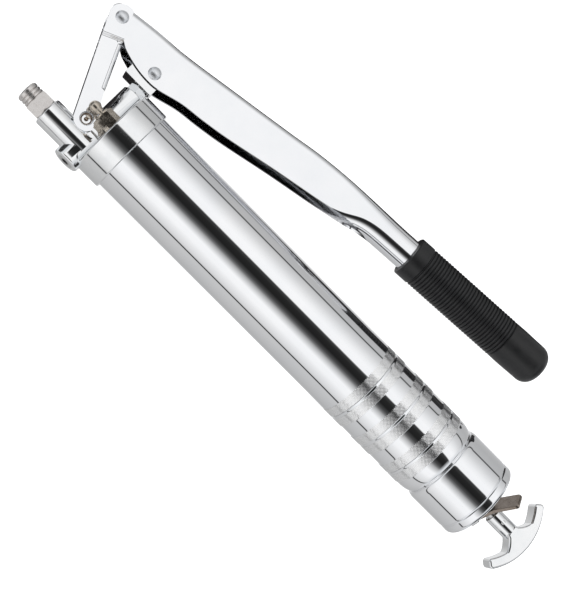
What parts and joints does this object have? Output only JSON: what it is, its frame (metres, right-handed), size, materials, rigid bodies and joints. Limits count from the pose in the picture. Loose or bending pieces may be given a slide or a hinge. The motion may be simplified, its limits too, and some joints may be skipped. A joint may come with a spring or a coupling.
{
  "type": "grease gun",
  "caption": "Lever-operated cartridge grease gun with a screw-on barrel, spring-driven follower, pump head, hose coupler and T-handle rod.",
  "frame": {"origin": "on the barrel's axis, where the barrel enters the head", "axes": "+X along the barrel from the head to the T-handle, +Y from the barrel to the lever, +Z across the lever's plane"},
  "size_m": [0.4217, 0.1366, 0.06],
  "materials": {
    "chrome": "polished",
    "zinc": "dull zinc",
    "nickel": "nickel",
    "steel": "ground",
    "spring_steel": "oiled",
    "latch_steel": "tempered",
    "rubber_grip": "satin, ribbed",
    "rubber_seal": "moulded"
  },
  "bodies": {
    "head": {"pump_head": "chrome", "gland_nut": "chrome", "plunger_seal": "rubber_seal", "check_plug": "steel", "check_spring": "spring_steel", "filler_body": "nickel", "filler_spring": "spring_steel", "coupler_body": "zinc", "coupler_sleeve": "zinc", "coupler_spring": "spring_steel", "link_pin": "steel", "barrel_gasket": "rubber_seal", "barrel": "chrome", "rear_cap": "chrome", "rod_guide": "steel", "latch_spring": "spring_steel", "follower_spring": "spring_steel"},
    "link": {"link": "chrome", "lever_pin": "chrome", "lever_spacer": "steel"},
    "lever": {"lever": "chrome", "grip": "rubber_grip", "plunger_pin": "chrome"},
    "plunger": {"plunger": "steel", "plunger_head": "chrome", "head_screw": "spring_steel"},
    "check": {"check_ball": "steel"},
    "filler": {"filler_stem": "nickel"},
    "jaws": {"coupler_jaws": "steel", "coupler_seal": "rubber_seal"},
    "latch": {"lock_latch": "latch_steel"},
    "follower": {"front_plate": "steel", "follower_seal": "rubber_seal", "rear_plate": "steel"},
    "rod": {"follower_rod": "steel", "rod_nut": "steel", "rod_clip": "spring_steel", "t_handle": "chrome", "handle_pin": "steel"}
  },
  "joints": [
    {"name": "lever_swing", "type": "hinge", "parent": "link", "child": "lever", "pos_m": [-0.0615, 0.0521, 0], "axis": [0, 0, 1], "range_deg": [0, 42]},
    {"name": "link_swing", "type": "hinge", "parent": "head", "child": "link", "pos_m": [-0.0328, -0.0077, 0], "axis": [0, 0, 1], "range_deg": [-3, 1]},
    {"name": "plunger_slide", "type": "slide", "parent": "head", "child": "plunger", "axis": [0, 1, 0], "range_m": [0, 0.029]},
    {"name": "check_lift", "type": "slide", "parent": "head", "child": "check", "axis": [0, -1, 0], "range_m": [0, 0.0015], "stiffness_N_per_m": 150, "springref_m": -0.002, "deforming": ["check_spring"]},
    {"name": "filler_press", "type": "slide", "parent": "head", "child": "filler", "axis": [1, 0, 0], "range_m": [0, 0.0014], "stiffness_N_per_m": 800, "springref_m": -0.002, "deforming": ["filler_spring"]},
    {"name": "jaw_travel", "type": "slide", "parent": "head", "child": "jaws", "axis": [1, 0, 0], "range_m": [0, 0.001], "stiffness_N_per_m": 1500, "springref_m": -0.002, "deforming": ["coupler_spring"]},
    {"name": "latch_tilt", "type": "hinge", "parent": "head", "child": "latch", "pos_m": [0.3134, -0.0066, -0.00683], "axis": [0, -0.7193, 0.6947], "range_deg": [0, 12], "stiffness_Nm_per_rad": 0.4, "springref_deg": -11.46, "deforming": ["latch_spring"]},
    {"name": "rod_pull", "type": "slide", "parent": "head", "child": "follower", "axis": [1, 0, 0], "range_m": [0, 0.23], "deforming": ["follower_spring"]},
    {"name": "rod_spin", "type": "hinge", "parent": "follower", "child": "rod", "pos_m": [0, 0, 0], "axis": [1, 0, 0], "continuous": true}
  ],
  "couplings": [
    {"joint": "link_swing", "follows": "lever_swing", "ratio": -0.054},
    {"joint": "plunger_slide", "follows": "lever_swing", "m_per_rad": 0.037459}
  ]
}
